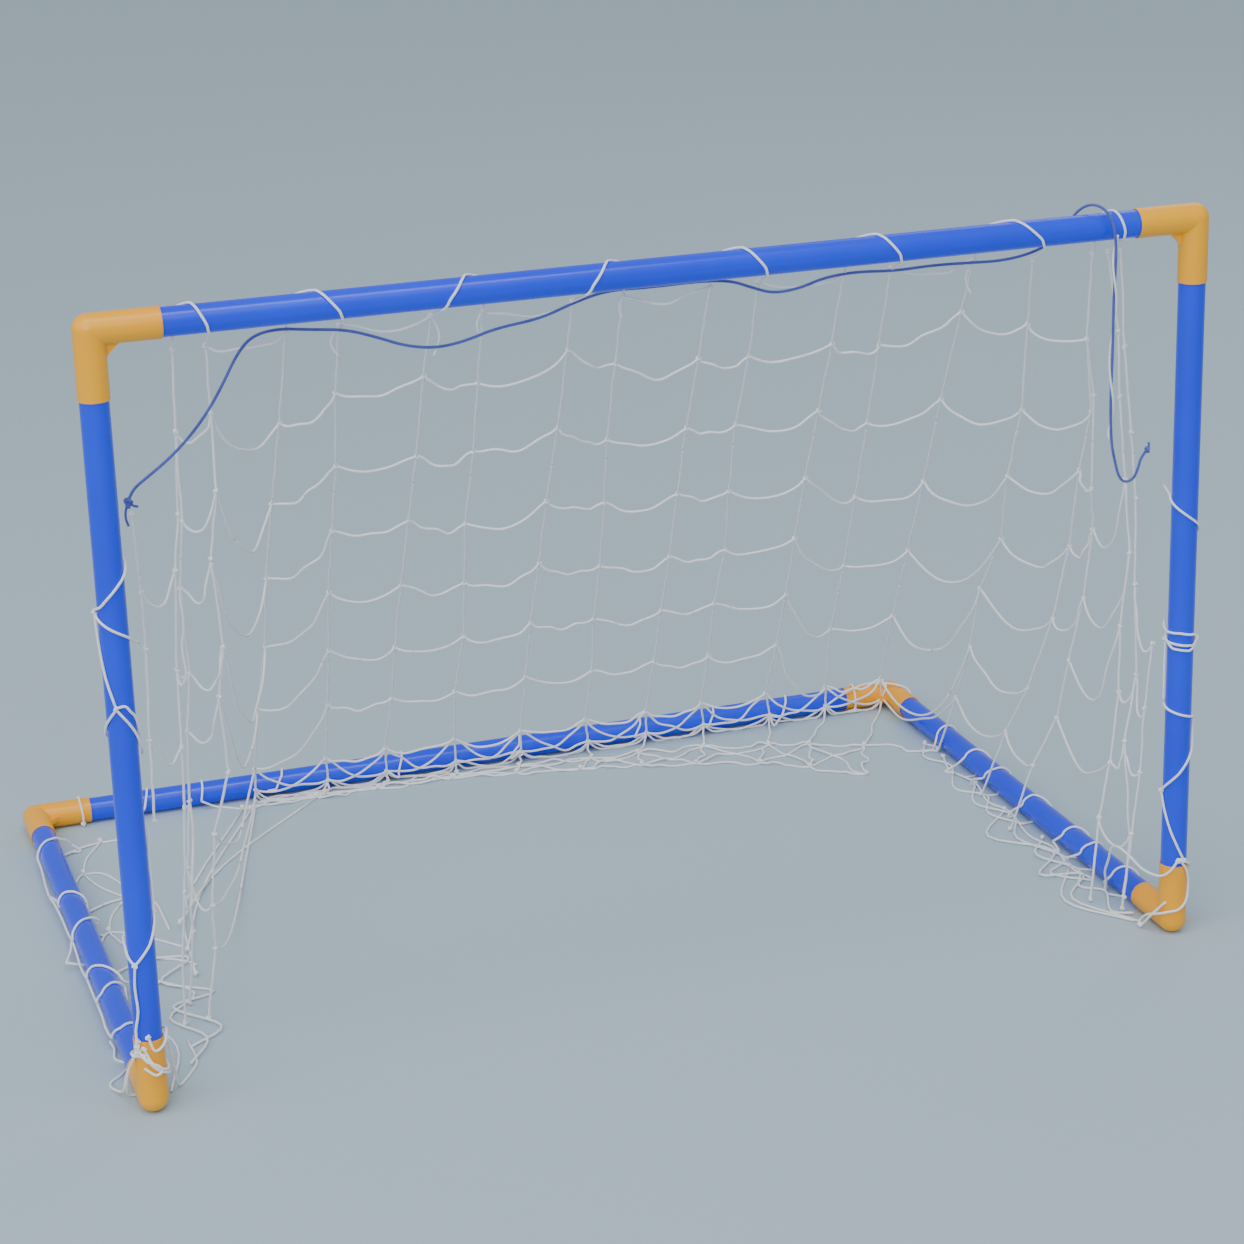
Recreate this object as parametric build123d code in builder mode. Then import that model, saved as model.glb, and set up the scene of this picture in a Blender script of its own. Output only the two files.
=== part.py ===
from build123d import *
from math import pi, radians, sqrt, tan
import os

os.makedirs("parts", exist_ok=True)

# A small lawn goal of push-fit tubes and elbows, with a knotted twine net.
# X runs along the crossbar, Y from the goal mouth to the back, Z up, all in millimetres.
# The origin is on the floor, under the middle of the frame.

# Driving dimensions
goal_width = 900.0  # between the two post axes
short_span = 621.0  # post axis to rear rail axis, and side rail axis to crossbar axis
tube_radius = 11.2
tube_bore_radius = 10.0
elbow_radius = 12.2
elbow_arm = 53.0  # corner of the two axes to the socket mouth
stop_distance = 17.0  # corner of the two axes to the shoulder that a tube end meets
running_gap = 0.05  # all round a tube in its socket
throat_radius = 9.4  # the bore that joins the two sockets
mouth_chamfer = 0.3
web_reach = 10.0  # how far the corner web runs along each arm
web_thickness = 4.6
twine_diameter = 2.0
loop_gap = 0.05  # between a twine loop and the tube inside it
floor_gap = 0.2  # twine squeezed under a rail stays this far above the floor
cord_diameter = 2.4
tie_knot_radius = 3.6
end_knot_radius = 2.8

# Places of the tube axes
half_width = goal_width / 2
front_y = -short_span / 2
back_y = short_span / 2
rail_z = elbow_radius
top_z = rail_z + short_span
tube_inset = stop_distance

# Colours, for viewing only
tube_blue = Color(0.05, 0.2, 0.75)
elbow_yellow = Color(0.95, 0.65, 0.08)
net_white = Color(0.93, 0.94, 0.96)
cord_blue = Color(0.25, 0.3, 0.65)

# Directions
x_axis = Vector(1, 0, 0)
y_axis = Vector(0, 1, 0)
z_axis = Vector(0, 0, 1)


def finish_node(part, name, color):
    """Names one finished piece and writes it to its own file."""
    part.label = name
    part.color = color
    export_step(part, "parts/" + name + ".step")


def make_elbow(name, corner, first_arm, second_arm):
    """A push-fit elbow: two sockets meeting in a ball corner, with a small web inside the bend."""
    socket_radius = tube_radius + running_gap
    arm_planes = [
        Plane(origin=corner, x_dir=second_arm, z_dir=first_arm),
        Plane(origin=corner, x_dir=first_arm, z_dir=second_arm),
    ]
    web_plane = Plane(origin=corner, x_dir=first_arm, z_dir=first_arm.cross(second_arm))
    web_root = elbow_radius * 0.9
    web_tip = elbow_radius + web_reach
    web_bow = elbow_radius + web_reach * 0.42
    with BuildPart() as elbow:
        for arm_plane in arm_planes:
            with BuildSketch(arm_plane):
                Circle(elbow_radius)
            extrude(amount=elbow_arm)
        with Locations(corner):
            Sphere(elbow_radius)
        with BuildSketch(web_plane):
            with BuildLine():
                Line((web_root, web_root), (web_tip, web_root))
                ThreePointArc((web_tip, web_root), (web_bow, web_bow), (web_root, web_tip))
                Line((web_root, web_tip), (web_root, web_root))
            make_face()
        extrude(amount=web_thickness / 2, both=True)
        for arm_plane in arm_planes:
            with BuildSketch(arm_plane.offset(stop_distance)):
                Circle(socket_radius)
            extrude(amount=elbow_arm - stop_distance, mode=Mode.SUBTRACT)
            with BuildSketch(arm_plane):
                Circle(throat_radius)
            extrude(amount=stop_distance, mode=Mode.SUBTRACT)
        with Locations(corner):
            Sphere(throat_radius, mode=Mode.SUBTRACT)
        for arm_plane in arm_planes:
            mouth = arm_plane.offset(elbow_arm).origin
            mouth_edges = elbow.edges().filter_by(GeomType.CIRCLE).sort_by_distance(mouth)[:2]
            chamfer(mouth_edges, length=mouth_chamfer)
    finish_node(elbow.part, name, elbow_yellow)


def make_tube(name, start, direction, length):
    """A straight hollow tube, cut square, with its rims just broken."""
    tube_plane = Plane(origin=start, z_dir=direction)
    with BuildPart() as tube:
        with BuildSketch(tube_plane):
            Circle(tube_radius)
            Circle(tube_bore_radius, mode=Mode.SUBTRACT)
        extrude(amount=length)
        for end_origin in (tube_plane.origin, tube_plane.offset(length).origin):
            rim = tube.edges().filter_by(GeomType.CIRCLE).sort_by_distance(end_origin)[:2]
            chamfer(rim, length=mouth_chamfer)
    finish_node(tube.part, name, tube_blue)


def make_loops(name, centres, direction, inner_radius, on_floor=False):
    """Twine loops round a tube or an elbow arm, one solid each, flattened where they meet the floor."""
    middle_radius = inner_radius + loop_gap + twine_diameter / 2
    with BuildPart() as loops:
        for centre in centres:
            with Locations(Plane(origin=centre, z_dir=direction)):
                Torus(middle_radius, twine_diameter / 2)
        if on_floor:
            split(bisect_by=Plane.XY.offset(floor_gap), keep=Keep.TOP)
    finish_node(loops.part, name, net_white)


# Elbows: two at the crossbar, two feet under the posts, two behind
elbow_places = {
    "top_left_elbow": (Vector(-half_width, front_y, top_z), x_axis, -z_axis),
    "top_right_elbow": (Vector(half_width, front_y, top_z), -x_axis, -z_axis),
    "left_foot_elbow": (Vector(-half_width, front_y, rail_z), z_axis, y_axis),
    "right_foot_elbow": (Vector(half_width, front_y, rail_z), z_axis, y_axis),
    "rear_left_elbow": (Vector(-half_width, back_y, rail_z), x_axis, -y_axis),
    "rear_right_elbow": (Vector(half_width, back_y, rail_z), -x_axis, -y_axis),
}
for elbow_name, (corner, first_arm, second_arm) in elbow_places.items():
    make_elbow(elbow_name, corner, first_arm, second_arm)

# Tubes: two long ones across, four short ones that are all alike
long_tube = goal_width - 2 * tube_inset
short_tube = short_span - 2 * tube_inset
tube_places = {
    "crossbar": ((-half_width + tube_inset, front_y, top_z), x_axis, long_tube),
    "rear_rail": ((-half_width + tube_inset, back_y, rail_z), x_axis, long_tube),
    "left_post": ((-half_width, front_y, rail_z + tube_inset), z_axis, short_tube),
    "right_post": ((half_width, front_y, rail_z + tube_inset), z_axis, short_tube),
    "left_side_rail": ((-half_width, front_y + tube_inset, rail_z), y_axis, short_tube),
    "right_side_rail": ((half_width, front_y + tube_inset, rail_z), y_axis, short_tube),
}
for tube_name, (start, direction, length) in tube_places.items():
    make_tube(tube_name, start, direction, length)

# Twine loops that the tubes are threaded through
crossbar_loop_xs = [-367, -277, -173, -60, 65, 181, 286, 372]
make_loops(
    "crossbar_net_loops",
    [(x, front_y, top_z) for x in crossbar_loop_xs],
    x_axis,
    tube_radius,
)
post_loop_zs = {"left": [426, 346, 142], "right": [390, 275, 225, 92]}
rail_loop_ys = {"left": [213, 90, 10, -70, -124, -195], "right": [166, 95, 42, -35, -120, -161, -220]}
for side, side_x in (("left", -half_width), ("right", half_width)):
    make_loops(
        side + "_post_net_loops",
        [(side_x, front_y, z) for z in post_loop_zs[side]],
        z_axis,
        tube_radius,
    )
    make_loops(
        side + "_rail_net_loops",
        [(side_x, y, rail_z) for y in rail_loop_ys[side]],
        y_axis,
        tube_radius,
        on_floor=True,
    )
rear_loop_xs = [-340, -286, -205, -83, 40, 170, 250, 331]
make_loops(
    "rear_rail_net_loops",
    [(x, back_y, rail_z) for x in rear_loop_xs],
    x_axis,
    tube_radius,
    on_floor=True,
)

# Twine ties at the four floor corners: round each foot's upright arm, and round each rear elbow
foot_tie_z = 46.0
rear_tie_inset = 44.0
for side, side_x, inward in (("left", -half_width, 1), ("right", half_width, -1)):
    make_loops(side + "_foot_net_tie", [(side_x, front_y, foot_tie_z)], z_axis, elbow_radius)
    make_loops(
        "rear_" + side + "_net_tie",
        [(side_x + inward * rear_tie_inset, back_y, rail_z)],
        x_axis,
        elbow_radius,
        on_floor=True,
    )

# Back net: one flat lattice, sloping from under the crossbar to the rear rail
slope_length = short_span * sqrt(2)
net_top_gap = 45.0  # crossbar axis to the lattice's top strand, down the slope
net_bottom_gap = 18.0  # lattice's bottom strand to the rear rail axis
back_net_width = 850.0
back_net_length = slope_length - net_top_gap - net_bottom_gap
back_net_columns = 16
back_net_rows = 9
slope_middle = (net_top_gap + back_net_length / 2) / sqrt(2)
back_net_plane = Plane(
    origin=(0, front_y + slope_middle, top_z - slope_middle),
    x_dir=(1, 0, 0),
    z_dir=(0, 1, 1),
)
column_pitch = (back_net_width - twine_diameter) / back_net_columns
row_pitch = (back_net_length - twine_diameter) / back_net_rows
with BuildPart() as back_net:
    with BuildSketch(back_net_plane):
        Rectangle(back_net_width, back_net_length)
        with GridLocations(column_pitch, row_pitch, back_net_columns, back_net_rows):
            Rectangle(column_pitch - twine_diameter, row_pitch - twine_diameter, mode=Mode.SUBTRACT)
    extrude(amount=twine_diameter / 2, both=True)
finish_node(back_net.part, "back_net", net_white)

# Side nets: a flat lattice in each triangle between post, side rail and back net
side_net_inset = 16.0  # post or rail axis to the lattice's edge strand
side_net_leg = short_span - 2 * side_net_inset - 30.0  # each straight side of the triangle
side_net_columns = 7
side_pitch = side_net_leg / side_net_columns
corner_cut = 20.0  # keeps the lattice clear of the foot elbow's web
half_twine = twine_diameter / 2
edge_inset = twine_diameter * (1 + sqrt(2))  # an edge strand's width, measured along the legs
for side, side_x in (("left", -half_width), ("right", half_width)):
    side_plane = Plane(
        origin=(side_x, front_y + side_net_inset, rail_z + side_net_inset),
        x_dir=(0, 1, 0),
        z_dir=(1, 0, 0),
    )
    with BuildPart() as side_net:
        with BuildSketch(side_plane):
            with BuildLine():
                Polyline(
                    (corner_cut, 0),
                    (side_net_leg, 0),
                    (0, side_net_leg),
                    (0, corner_cut),
                    close=True,
                )
            make_face()
            inner_leg = side_net_leg - edge_inset
            with BuildLine():
                Polyline(
                    (corner_cut, twine_diameter),
                    (inner_leg, twine_diameter),
                    (twine_diameter, inner_leg),
                    (twine_diameter, corner_cut),
                    close=True,
                )
            make_face(mode=Mode.SUBTRACT)
            for index in range(1, side_net_columns):
                place = side_pitch * index
                reach = side_net_leg - place - twine_diameter
                with Locations((place, half_twine + reach / 2)):
                    Rectangle(twine_diameter, reach)
                with Locations((half_twine + reach / 2, place)):
                    Rectangle(reach, twine_diameter)
        extrude(amount=half_twine, both=True)
    finish_node(side_net.part, side + "_side_net", net_white)

# Draw cord: knotted to the net beside the left post, up and along behind the crossbar in slack
# swags, over the crossbar near its right end, then hanging to a small knot by the right post
draw_cord_route = [
    (-428.0, -290.0, 494.0),
    (-425.5, -290.5, 502.5),
    (-413.0, -291.0, 511.5),
    (-396.0, -291.5, 523.5),
    (-378.5, -291.0, 539.0),
    (-363.0, -291.5, 557.5),
    (-350.0, -291.0, 577.5),
    (-339.5, -291.5, 597.0),
    (-327.0, -291.0, 611.0),
    (-307.0, -291.5, 615.0),
    (-282.0, -291.0, 611.5),
    (-254.0, -290.5, 608.5),
    (-231.0, -291.0, 600.5),
    (-208.0, -291.5, 591.0),
    (-184.0, -291.0, 587.0),
    (-161.0, -290.5, 590.0),
    (-137.0, -291.0, 597.5),
    (-101.0, -291.5, 601.5),
    (-73.0, -291.0, 611.5),
    (-46.0, -290.5, 618.0),
    (-12.0, -291.0, 617.0),
    (27.0, -291.5, 618.0),
    (55.0, -291.0, 616.0),
    (73.0, -290.5, 608.5),
    (91.0, -291.0, 602.0),
    (113.0, -291.5, 604.0),
    (134.0, -291.0, 610.5),
    (162.0, -290.5, 612.5),
    (194.0, -291.0, 610.0),
    (226.0, -291.5, 611.5),
    (257.0, -291.0, 610.5),
    (286.0, -290.5, 609.0),
    (311.0, -291.0, 612.0),
    (331.0, -291.5, 619.5),
    (345.0, -291.5, 632.0),
    (352.0, -295.0, 644.5),
    (358.0, -304.5, 651.5),
    (363.0, -316.5, 651.5),
    (367.0, -326.0, 644.5),
    (369.5, -329.5, 632.0),
    (371.5, -328.0, 611.0),
    (372.5, -323.0, 575.0),
    (374.5, -320.0, 533.0),
    (375.5, -316.0, 491.0),
    (378.0, -313.0, 464.0),
    (380.5, -311.0, 448.0),
    (385.0, -309.0, 433.0),
    (389.0, -307.5, 421.0),
    (395.5, -306.0, 414.5),
    (404.5, -304.5, 416.0),
    (409.0, -303.5, 424.5),
    (412.5, -302.0, 434.0),
    (418.5, -300.5, 438.5),
]


def corner_radii(route):
    """Each corner's arc: 0.45 of the shorter run beside it, over the tangent of half the turn."""
    radii = []
    for before, here, after in zip(route, route[1:], route[2:]):
        run_in = Vector(*here) - Vector(*before)
        run_out = Vector(*after) - Vector(*here)
        half_turn = radians(run_in.get_angle(run_out)) / 2
        radii.append(0.45 * min(run_in.length, run_out.length) / tan(half_turn))
    return radii


cord_radii = corner_radii(draw_cord_route)
with BuildPart() as draw_cord:
    with BuildLine() as cord_line:
        FilletPolyline(*draw_cord_route, radius=cord_radii)
    cord_path = cord_line.wires()[0]
    cord_start = cord_path @ 0
    cord_heading = cord_path % 0
    with BuildSketch(Plane(origin=cord_start, z_dir=cord_heading)):
        Circle(cord_diameter / 2)
    sweep(path=cord_path)
finish_node(draw_cord.part, "draw_cord", cord_blue)
cord_length = cord_path.length
cord_section = pi * (cord_diameter / 2) ** 2
print("draw cord length", round(cord_length, 1), "tightest arc", round(min(cord_radii), 1))
print("draw cord arcs", [round(radius, 1) for radius in cord_radii])
print("draw cord volume over section times length", draw_cord.part.volume / (cord_section * cord_length))

# A knot on each end of the draw cord: a ball with a flat as wide as the cord, where the cord meets it
cord_end = cord_path @ 1
cord_end_heading = cord_path % 1
knot_places = {
    "draw_cord_tie_knot": (cord_start, -cord_heading, tie_knot_radius),
    "draw_cord_end_knot": (cord_end, cord_end_heading, end_knot_radius),
}
for knot_name, (flat_centre, outward, knot_radius) in knot_places.items():
    centre_distance = sqrt(knot_radius**2 - (cord_diameter / 2) ** 2)
    with BuildPart() as knot:
        with Locations(flat_centre + outward * centre_distance):
            Sphere(knot_radius)
        split(bisect_by=Plane(origin=flat_centre, z_dir=outward), keep=Keep.TOP)
    finish_node(knot.part, knot_name, cord_blue)
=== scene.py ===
from math import cos, pi, radians, sin, sqrt
import bpy
import numpy as np
from mathutils import Matrix, Vector


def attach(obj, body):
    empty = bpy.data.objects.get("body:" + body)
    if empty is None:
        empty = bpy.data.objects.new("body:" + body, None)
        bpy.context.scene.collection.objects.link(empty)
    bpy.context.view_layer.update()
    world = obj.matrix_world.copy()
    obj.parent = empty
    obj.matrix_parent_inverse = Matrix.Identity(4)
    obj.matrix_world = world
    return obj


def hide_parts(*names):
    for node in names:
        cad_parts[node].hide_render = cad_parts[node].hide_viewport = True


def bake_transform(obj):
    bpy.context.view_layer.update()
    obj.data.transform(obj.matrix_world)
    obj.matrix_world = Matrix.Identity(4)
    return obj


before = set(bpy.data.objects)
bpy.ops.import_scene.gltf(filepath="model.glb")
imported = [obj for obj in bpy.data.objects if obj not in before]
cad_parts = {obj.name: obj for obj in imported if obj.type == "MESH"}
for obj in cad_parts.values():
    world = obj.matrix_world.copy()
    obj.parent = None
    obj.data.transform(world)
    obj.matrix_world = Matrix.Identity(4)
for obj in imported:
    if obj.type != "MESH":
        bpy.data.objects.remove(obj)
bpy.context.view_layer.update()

MM = 0.001
TWINE = 1.08 * MM  # radius of the net's twine
CORD = 1.2 * MM  # radius of the blue draw cord
LAY_SCALE = 0.3  # gives the twine's texture three strands round its girth
TUBE = 11.2 * MM
ELBOW = 12.2 * MM
KNOT = 1.7 * MM  # reach of a knot's lump from its middle
FRONT_LINE = -310.5  # Y of the crossbar and the posts, and height of the crossbar, in millimetres
TOP_LINE = 633.2
HALF_WIDTH = 450 * MM
FRONT_Y = FRONT_LINE * MM
BACK_Y = 310.5 * MM
RAIL_Z = 12.2 * MM
TOP_Z = TOP_LINE * MM
rng = np.random.default_rng(7)


def mm(*values):
    """A point given in millimetres, in metres."""
    return np.array(values, float) * MM


# ---------------------------------------------------------------- camera
def place_camera():
    """A long lens from the front left, a little above the goal, with a slight roll."""
    azimuth = radians(18.139)
    elevation = radians(-18.88)
    roll = radians(-1.693)
    forward = Vector((sin(azimuth) * cos(elevation), cos(azimuth) * cos(elevation), sin(elevation)))
    level_right = forward.cross(Vector((0, 0, 1))).normalized()
    level_up = level_right.cross(forward)
    right = level_right * cos(roll) + level_up * sin(roll)
    up = level_up * cos(roll) - level_right * sin(roll)
    data = bpy.data.cameras.new("camera")
    data.sensor_width = 36
    data.lens = 89.9
    camera = bpy.data.objects.new("camera", data)
    bpy.context.scene.collection.objects.link(camera)
    place = Matrix((right, up, -forward)).transposed().to_4x4()
    place.translation = Vector((-0.7747, -2.527, 1.1516))
    camera.matrix_world = place
    bpy.context.scene.camera = camera


place_camera()


# ---------------------------------------------------------------- materials
def new_material(name):
    material = bpy.data.materials.new(name)
    material.use_nodes = True
    nodes = material.node_tree.nodes
    shader = nodes["Principled BSDF"]
    return material, nodes, material.node_tree.links, shader


def noise_node(nodes, links, coordinates, scale, detail):
    noise = nodes.new("ShaderNodeTexNoise")
    noise.inputs["Scale"].default_value = scale
    noise.inputs["Detail"].default_value = detail
    links.new(coordinates, noise.inputs["Vector"])
    return noise


def ramp_node(nodes, links, factor, stops):
    ramp = nodes.new("ShaderNodeValToRGB")
    ramp.color_ramp.elements[0].position = stops[0][0]
    ramp.color_ramp.elements[0].color = stops[0][1]
    ramp.color_ramp.elements[1].position = stops[1][0]
    ramp.color_ramp.elements[1].color = stops[1][1]
    links.new(factor, ramp.inputs["Fac"])
    return ramp


def plastic_material(name, dark, light, roughness, ripple, coat):
    """Moulded or extruded plastic: faint tone changes, a soft ripple in its gloss, and fine scuffs."""
    material, nodes, links, shader = new_material(name)
    coordinates = nodes.new("ShaderNodeTexCoord").outputs["Object"]
    tone = noise_node(nodes, links, coordinates, 9.0, 2.0)
    colour = ramp_node(nodes, links, tone.outputs["Fac"], [(0.3, dark), (0.7, light)])
    links.new(colour.outputs["Color"], shader.inputs["Base Color"])
    scuff = noise_node(nodes, links, coordinates, 110.0, 4.0)
    low = roughness - 0.015
    high = roughness + 0.025
    gloss = ramp_node(nodes, links, scuff.outputs["Fac"],
                      [(0.42, (low, low, low, 1)), (0.68, (high, high, high, 1))])
    links.new(gloss.outputs["Color"], shader.inputs["Roughness"])
    swell = noise_node(nodes, links, coordinates, 26.0, 1.0)
    grain = noise_node(nodes, links, coordinates, 900.0, 3.0)
    first = nodes.new("ShaderNodeBump")
    first.inputs["Strength"].default_value = ripple
    first.inputs["Distance"].default_value = 0.0006
    links.new(swell.outputs["Fac"], first.inputs["Height"])
    second = nodes.new("ShaderNodeBump")
    second.inputs["Strength"].default_value = 0.02
    second.inputs["Distance"].default_value = 0.00005
    links.new(grain.outputs["Fac"], second.inputs["Height"])
    links.new(first.outputs["Normal"], second.inputs["Normal"])
    links.new(second.outputs["Normal"], shader.inputs["Normal"])
    shader.inputs["IOR"].default_value = 1.5
    shader.inputs["Coat Weight"].default_value = coat
    shader.inputs["Coat Roughness"].default_value = 0.18
    return material


def twine_material(name, dark, light, stretch):
    """Laid twine: slanting strands along its length, a soft fuzz and uneven whiteness.
    stretch turns its UV into millimetres along and round it."""
    material, nodes, links, shader = new_material(name)
    source = nodes.new("ShaderNodeTexCoord")
    mapping = nodes.new("ShaderNodeMapping")
    mapping.inputs["Scale"].default_value = stretch
    links.new(source.outputs["UV"], mapping.inputs["Vector"])
    lay = nodes.new("ShaderNodeTexWave")
    lay.wave_type = "BANDS"
    lay.bands_direction = "DIAGONAL"
    lay.inputs["Scale"].default_value = LAY_SCALE
    lay.inputs["Distortion"].default_value = 0.6
    lay.inputs["Detail"].default_value = 1.0
    links.new(mapping.outputs["Vector"], lay.inputs["Vector"])
    tone = noise_node(nodes, links, source.outputs["Object"], 60.0, 3.0)
    fibre = noise_node(nodes, links, source.outputs["Object"], 2600.0, 4.0)
    mix = nodes.new("ShaderNodeMath")
    mix.operation = "MULTIPLY_ADD"
    mix.inputs[1].default_value = 0.35
    links.new(lay.outputs["Fac"], mix.inputs[0])
    links.new(tone.outputs["Fac"], mix.inputs[2])
    colour = ramp_node(nodes, links, mix.outputs["Value"], [(0.35, dark), (0.8, light)])
    links.new(colour.outputs["Color"], shader.inputs["Base Color"])
    strands = nodes.new("ShaderNodeBump")
    strands.inputs["Strength"].default_value = 0.8
    strands.inputs["Distance"].default_value = 0.0004
    links.new(lay.outputs["Fac"], strands.inputs["Height"])
    fuzz = nodes.new("ShaderNodeBump")
    fuzz.inputs["Strength"].default_value = 0.35
    fuzz.inputs["Distance"].default_value = 0.0001
    links.new(fibre.outputs["Fac"], fuzz.inputs["Height"])
    links.new(strands.outputs["Normal"], fuzz.inputs["Normal"])
    links.new(fuzz.outputs["Normal"], shader.inputs["Normal"])
    shader.inputs["Roughness"].default_value = 0.62
    shader.inputs["Sheen Weight"].default_value = 0.35
    shader.inputs["Sheen Roughness"].default_value = 0.4
    return material


tube_blue = plastic_material("tube_blue", (0.0, 0.034, 0.84, 1), (0.0, 0.043, 0.92, 1), 0.24, 0.06, 0.06)
elbow_yellow = plastic_material("elbow_yellow", (0.98, 0.4, 0.0, 1), (1.0, 0.45, 0.0, 1), 0.32, 0.12, 0.04)
net_white = twine_material("net_white", (0.9, 0.91, 0.93, 1), (0.98, 0.98, 0.98, 1), (1, 1, 1))
cord_knot_blue = twine_material("cord_knot_blue", (0.035, 0.05, 0.34, 1), (0.09, 0.12, 0.5, 1), (1, 1, 1))
cord_blue = twine_material("cord_blue", (0.035, 0.05, 0.34, 1), (0.09, 0.12, 0.5, 1), (1168, 7.5, 1))


def dress_node(name, material):
    """Gives a CAD piece its finish."""
    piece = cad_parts[name]
    piece.data.materials.clear()
    piece.data.materials.append(material)


for tube_name in ("crossbar", "rear_rail", "left_post", "right_post", "left_side_rail", "right_side_rail"):
    dress_node(tube_name, tube_blue)
for place in ("top_left", "top_right", "left_foot", "right_foot", "rear_left", "rear_right"):
    dress_node(place + "_elbow", elbow_yellow)

# ---------------------------------------------------------------- draw cord
# The same route as the cord's CAD tube, in metres
cord_route = [
    (-0.4280, -0.2900, 0.4940),
    (-0.4255, -0.2905, 0.5025),
    (-0.4130, -0.2910, 0.5115),
    (-0.3960, -0.2915, 0.5235),
    (-0.3785, -0.2910, 0.5390),
    (-0.3630, -0.2915, 0.5575),
    (-0.3500, -0.2910, 0.5775),
    (-0.3395, -0.2915, 0.5970),
    (-0.3270, -0.2910, 0.6110),
    (-0.3070, -0.2915, 0.6150),
    (-0.2820, -0.2910, 0.6115),
    (-0.2540, -0.2905, 0.6085),
    (-0.2310, -0.2910, 0.6005),
    (-0.2080, -0.2915, 0.5910),
    (-0.1840, -0.2910, 0.5870),
    (-0.1610, -0.2905, 0.5900),
    (-0.1370, -0.2910, 0.5975),
    (-0.1010, -0.2915, 0.6015),
    (-0.0730, -0.2910, 0.6115),
    (-0.0460, -0.2905, 0.6180),
    (-0.0120, -0.2910, 0.6170),
    (0.0270, -0.2915, 0.6180),
    (0.0550, -0.2910, 0.6160),
    (0.0730, -0.2905, 0.6085),
    (0.0910, -0.2910, 0.6020),
    (0.1130, -0.2915, 0.6040),
    (0.1340, -0.2910, 0.6105),
    (0.1620, -0.2905, 0.6125),
    (0.1940, -0.2910, 0.6100),
    (0.2260, -0.2915, 0.6115),
    (0.2570, -0.2910, 0.6105),
    (0.2860, -0.2905, 0.6090),
    (0.3110, -0.2910, 0.6120),
    (0.3310, -0.2915, 0.6195),
    (0.3450, -0.2915, 0.6320),
    (0.3520, -0.2950, 0.6445),
    (0.3580, -0.3045, 0.6515),
    (0.3630, -0.3165, 0.6515),
    (0.3670, -0.3260, 0.6445),
    (0.3695, -0.3295, 0.6320),
    (0.3715, -0.3280, 0.6110),
    (0.3725, -0.3230, 0.5750),
    (0.3745, -0.3200, 0.5330),
    (0.3755, -0.3160, 0.4910),
    (0.3780, -0.3130, 0.4640),
    (0.3805, -0.3110, 0.4480),
    (0.3850, -0.3090, 0.4330),
    (0.3890, -0.3075, 0.4210),
    (0.3955, -0.3060, 0.4145),
    (0.4045, -0.3045, 0.4160),
    (0.4090, -0.3035, 0.4245),
    (0.4125, -0.3020, 0.4340),
    (0.4185, -0.3005, 0.4385),
]


def make_cord_curve(name, route, radius, material):
    """A round cord along one smooth spline."""
    data = bpy.data.curves.new(name, "CURVE")
    data.dimensions = "3D"
    spline = data.splines.new("NURBS")
    spline.points.add(len(route) - 1)
    for point, where in zip(spline.points, route):
        point.co = (*where, 1)
    spline.order_u = 3
    spline.use_endpoint_u = True
    spline.resolution_u = 8
    data.bevel_depth = radius
    data.bevel_resolution = 4
    data.use_fill_caps = True
    data.materials.append(material)
    curve = bpy.data.objects.new(name, data)
    bpy.context.scene.collection.objects.link(curve)
    return curve


blue_cord = make_cord_curve("blue_draw_cord", cord_route, CORD, cord_blue)
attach(blue_cord, "crossbar_frame")
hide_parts("draw_cord")


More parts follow.
